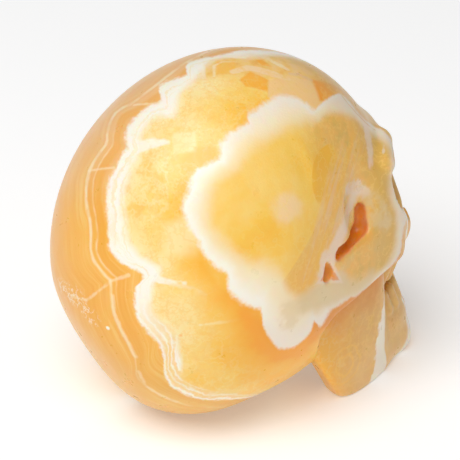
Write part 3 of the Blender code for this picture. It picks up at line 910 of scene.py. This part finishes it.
def marked_stone(stone, here):
    """Spurs and veins across the gold, deep orange round the cheek arch, and painted shade under the arch and
    on the jaw's top.
    """
    stone.draw_marks(MIDDLE_MARKS, 40)
    drift = stone.wander(6, 41, 1.4, 3)
    warm = stone.plus(stone.thread(*BAND_GLOW), drift)
    stone.fade(AMBER, warm, 12, 0, 0.9)
    stone.fade(ORANGE, warm, 5, -2, 0.75)
    deep = stone.plus(stone.thread(*DEEPEST_GLOW), drift)
    stone.fade(BURNT_ORANGE, deep, 3.2, -0.4, 0.65)
    # Painted shade: deep orange under the cheek arch.
    shade = stone.stray(stone.thread(*ARCH_UNDERSIDE_SHADE), 5, 42, 1.5)
    stone.fade(PAINTED_SHADE_ORANGE, shade, 12, 0, 0.8)
    # Painted shade: deep orange on the jaw's top, under the arch.
    shade = stone.stray(stone.rod(*JAW_TOP_SHADE), 6, 51, 2.5, 3)
    stone.fade(PAINTED_SHADE_ORANGE, shade, 12, 0, 0.65)


def jaw_vein(stone, here):
    """The white vein in the lower jaw."""
    height = stone.height()
    depth = stone.facet(*JAW_VEIN)
    start = stone.stray(stone.linear(height, 0.2, -3.6), 3, 10, 1.2, 3)
    end = stone.stray(stone.linear(height, -0.09, 5.4), 4, 43, 0.4)
    inside = stone.ease(stone.minus(depth, start), -0.6, 0.6)
    inside = stone.times(inside, stone.ease(stone.minus(depth, end), 0.5, -0.3))
    stone.lay(WHITE, inside, stone.ease(height, JAW_VEIN_TOP, JAW_VEIN_TOP - 6), 0.85)


def core_stone(stone, here):
    """Warm gold inside the inner band, tan below the cleavage and at the temple, where the tan is partly
    painted shade, with an ochre crescent of painted shade.
    """
    share = stone.stray(stone.cloud(16, 6, 3), 3, 44, 0.04, 3)
    _, depth, height = stone.split(stone.place)
    share = stone.plus(share, stone.linear(height, 0.009, -0.68))
    stone.colour = stone.ramp(share, CORE_TINTS)
    cleft = stone.ease(stone.facet(*CLEAVAGE), -0.2, 0.5)
    stone.lay(HONEY_TAN, cleft, stone.ease(height, 84, 74), 0.8)
    # Partly painted shade: the temple and the cheek turn tan and dull gold towards the face, away from the
    # lamp.
    front = stone.ease(depth, -6, -15)
    stone.lay(stone.ramp(stone.cloud(7, 45, 4, 0.6), TEMPLE_TINTS), front, 0.85)
    stone.fade(CHEEK_GOLD, depth, -26, -34, 0.85)
    # Painted shade: an ochre crescent along the temple's crease, where the concave temple begins.
    ball = stone.from_point(CRESCENT_CENTRE)
    rim = stone.ease(ball, CRESCENT_RADIUS + 0.3, CRESCENT_RADIUS)
    hollow = stone.ease(ball, CRESCENT_RADIUS - 8, CRESCENT_RADIUS - 2.5)
    stone.lay(OCHRE, rim, hollow, stone.ease(stone.from_point(CRESCENT_MIDDLE), 11, 8))
    side = stone.facet(*STREAK)
    streaks = stone.times(stone.line(side, 0, 2.5, 3.5), stone.ease(height, 94, 84))
    pattern = stone.layered(side, 1.5, 11, 0.05)
    stone.lay(PINK_TAN, streaks, stone.ease(pattern, 0.52, 0.64), 0.55)
    stone.lay(OCHRE, streaks, stone.ease(pattern, 0.5, 0.38), 0.6)
    # Lays a pale peach patch on the side of the head.
    near = stone.stray(stone.from_point(PEACH_PATCH), 4, 12, 1.5, 3)
    stone.fade(PEACH, near, 6.8, 2.2, 0.85)
    # Partly painted shade: a dull spot on the cheek arch.
    near = stone.stray(stone.from_point(ARCH_BEIGE), 3, 46, 1)
    stone.fade(DULL_WHITE, near, 10, 4, 0.6)
    stone.lay(PALE_GOLD, stone.wisps(5, 47, 0.04), 0.3)


def slot_glow(stone, here):
    """Painted glow in deep orange where the temple's slot and pit are cut in, milky stone around them, and
    cream over the cheek arch that is partly painted shade.
    """
    haze = stone.stray(stone.thread(*SLOT_HAZE), 3, 13, 0.6, 3)
    skin = stone.stray(stone.thread(*ARCH_SKIN), 4, 52, 0.8)
    # Partly painted shade: the white band turns cream over the cheek arch.
    stone.fade(ARCH_CREAM, skin, 5, 0, stone.ease(here.inner_out, 0.5, -0.7), 0.85)
    stone.draw_marks(TEMPLE_MARKS, 53)
    stone.fade(ROSE_WHITE, haze, 2.2, -0.4, 0.85)
    field = Field(stone.tree, stone.vector("SUBTRACT", stone.place, CENTRING))
    slot = field.join(field.rod(*GLOW_UPPER), field.rod(*GLOW_LOWER), CRISP)
    slot = stone.stray(slot, 1.5, 48, 0.3)
    # Painted glow: deep orange in the slot, inside a paler rim.
    stone.fade(GLOW_RIM, slot, 1.3, 0.2, 0.9)
    stone.fade(GLOW, slot, 0.6, -0.4)
    pit = stone.stray(stone.pane(PIT_CORNERS), 1, 49, 0.15)
    stone.fade(ROSE_WHITE, pit, 1.6, 0.6, 0.8)
    # Painted glow: deep orange in the pit, inside a paler rim.
    stone.fade(GLOW_RIM, pit, 0.5, 0)
    stone.fade(GLOW, pit, -0.2, -1)
    # Painted light: the nick's hollow is coloured bright orange where it would lie in shade.
    stone.fade(PIT_GLOW, field.rod(*NICK), 0.4, -0.2)


def paint_stone(stone, growth):
    """Lays every layer, from the outermost stone in to the core, and then the slot."""
    # Partly painted shade: the white bands turn duller on the face, partly the stone's own tone.
    face = face_share(stone)
    white = stone.over(WHITE, DULL_WHITE, face, 0.8)
    stone.colour = painted(stone, growth, rear_stone)
    last_in = stone.plus(growth.last_out, -LAST_BAND_WIDTH)
    stone.fade(white, growth.last_out, -0.2, 0.5)
    stone.fade(painted(stone, growth, honey_stone), last_in, -1.5, 1.5)
    stone.fade(painted(stone, growth, outer_band), growth.outer_out, 0.7, -0.5)
    gold = painted(stone, growth, gold_stone)
    for paint in (top_stone, face_stone, marked_stone):
        gold = painted(stone, growth, paint, gold)
    stone.fade(gold, growth.outer_in, 1.3, -1.6)
    stone.colour = painted(stone, growth, jaw_vein, stone.colour)
    height = stone.height()
    # Painted shade: the inner band's white turns duller towards its top and bottom ends.
    ends = stone.plus(stone.ease(height, 58, 42), stone.ease(height, 90, 106))
    stone.fade(stone.over(white, DULL_WHITE, ends, 0.45), growth.inner_out, 0.9, -0.7)
    depth = stone.maths("DIVIDE", growth.inner_in, stone.minus(growth.inner_in, growth.inner_out))
    # Partly painted shade: the inner band's cream turns duller on the face, partly the stone's own tone.
    stone.fade(stone.over(CREAM, DULL_WHITE, face, 0.6), depth, 0.9, 0.1)
    stone.fade(painted(stone, growth, core_stone), growth.inner_in, 1.4, -2.8)
    stone.colour = painted(stone, growth, slot_glow, stone.colour)


# Polish: how rough the clear stone is, and how much rougher in patches and on the white bands.
CLEAR_ROUGHNESS = 0.22
PATCHY_ROUGHNESS = 0.16
BAND_ROUGHNESS = 0.08

# Relief: faint waves and tiny pits, their heights in metres.
WAVE_SIZE = 9
WAVE_HEIGHT = 0.00025
PIT_SIZE = 0.7
PIT_HEIGHT = 0.00004

# Light enters the stone and travels this far in metres, the red part the furthest.
REFRACTION = 1.55
TRANSLUCENCY = 0.5
LIGHT_SHARES = (1, 0.4, 0.16)
LIGHT_REACH = 0.003


def polish(stone, growth):
    """How rough the surface is: clear stone takes a better polish than the white bands."""
    inner = stone.line(growth.inner_out, -2, 2, 0.5)
    bands = stone.plus(inner, stone.line(growth.outer_out, -1.5, 1.5, 0.5))
    rough = stone.linear(stone.cloud(5, 60, 4, 0.6), PATCHY_ROUGHNESS, CLEAR_ROUGHNESS)
    return stone.linear(bands, BAND_ROUGHNESS, rough)


def relief(stone):
    """The polished surface's faint waves, and tiny pits over them."""
    waves = stone.add("ShaderNodeBump", Height=stone.cloud(WAVE_SIZE, 61, 1), Distance=WAVE_HEIGHT)
    pits = stone.cloud(PIT_SIZE, 62, 1)
    return stone.add("ShaderNodeBump", Height=pits, Distance=PIT_HEIGHT, Normal=waves.outputs[0]).outputs[0]


def set_inputs(node, **values):
    """Sets inputs by name, with _ for a space."""
    for name, value in values.items():
        node.inputs[name.replace("_", " ")].default_value = value


def polished_calcite():
    material = bpy.data.materials.new("banded calcite")
    material.use_nodes = True
    shader = material.node_tree.nodes["Principled BSDF"]
    place_group()
    stone = Stone(material.node_tree)
    growth = Growth(stone)
    paint_stone(stone, growth)
    stone.put(shader.inputs["Base Color"], stone.colour)
    stone.put(shader.inputs["Roughness"], polish(stone, growth))
    stone.put(shader.inputs["Normal"], relief(stone))
    set_inputs(shader, IOR=REFRACTION, Subsurface_Weight=TRANSLUCENCY, Subsurface_Radius=LIGHT_SHARES,
               Subsurface_Scale=LIGHT_REACH)
    return material


def skull():
    """Makes the form's mesh in a piece of its own, which stands for the CAD node."""
    bpy.ops.mesh.primitive_ico_sphere_add()
    piece = bpy.context.object
    piece.name = "polished_skull"
    form = piece.modifiers.new("form", "NODES")
    form.node_group = skull_tree(polished_calcite())
    graph = bpy.context.evaluated_depsgraph_get()
    piece.data = bpy.data.meshes.new_from_object(piece.evaluated_get(graph))
    piece.modifiers.clear()
    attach(piece, "root")
    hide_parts("skull")


# The camera looks down on the skull from behind its right side. The picture's own frame is this many pixels.
FRAME_PIXELS = 460
AZIMUTH = math.radians(-116)
ELEVATION = math.radians(30)
CAMERA_DISTANCE = 1
TARGET = Vector((0, 0.00748, 0.056))
TARGET_PIXEL = (217.4, 227)
PIXELS_PER_MM = 3.283
SENSOR_MM = 36

# A pale table in a white room, with one large lamp to the left of the camera.
ROOM_BRIGHTNESS = 0.34
FLOOR_SIZE = 6
FLOOR_GLOW = 0.22
FLOOR_ROUGHNESS = 0.9
PAPER = (0.93, 0.93, 0.93, 1)
PURE_WHITE = (1, 1, 1, 1)
KEY_BEARING = math.radians(-143)
KEY_HEIGHT = math.radians(58)
KEY_DISTANCE = 1.3
KEY_SIZE = 0.9
KEY_WATTS = 12.8


def aimed(name, data, bearing, height, distance):
    """Puts a camera or a lamp at a bearing and a height, both angles in radians, looking at the target."""
    level = math.cos(height)
    back = Vector((math.sin(bearing) * level, -math.cos(bearing) * level, math.sin(height)))
    holder = bpy.data.objects.new(name, data)
    holder.location = TARGET + back * distance
    holder.rotation_euler = back.to_track_quat("Z", "Y").to_euler()
    bpy.context.scene.collection.objects.link(holder)
    return holder


def camera():
    view = bpy.data.cameras.new("camera")
    view.sensor_width = SENSOR_MM
    view.lens = PIXELS_PER_MM * CAMERA_DISTANCE / MM * SENSOR_MM / FRAME_PIXELS
    view.shift_x = 0.5 - TARGET_PIXEL[0] / FRAME_PIXELS
    view.shift_y = TARGET_PIXEL[1] / FRAME_PIXELS - 0.5
    bpy.context.scene.camera = aimed("camera", view, AZIMUTH, ELEVATION, CAMERA_DISTANCE)


def floor():
    bpy.ops.mesh.primitive_plane_add(size=FLOOR_SIZE)
    ground = bpy.context.object
    ground.name = "floor"
    paper = bpy.data.materials.new("white paper")
    paper.use_nodes = True
    set_inputs(paper.node_tree.nodes["Principled BSDF"], Base_Color=PAPER, Roughness=FLOOR_ROUGHNESS,
               Emission_Color=PURE_WHITE, Emission_Strength=FLOOR_GLOW)
    ground.data.materials.append(paper)


def studio():
    world = bpy.data.worlds.new("studio")
    world.use_nodes = True
    set_inputs(world.node_tree.nodes["Background"], Color=PURE_WHITE, Strength=ROOM_BRIGHTNESS)
    bpy.context.scene.world = world
    bpy.context.scene.view_settings.view_transform = "Standard"
    light = bpy.data.lights.new("key", "AREA")
    light.shape = "SQUARE"
    light.size = KEY_SIZE
    light.energy = KEY_WATTS
    aimed("key", light, KEY_BEARING, KEY_HEIGHT, KEY_DISTANCE)


skull()
camera()
floor()
studio()
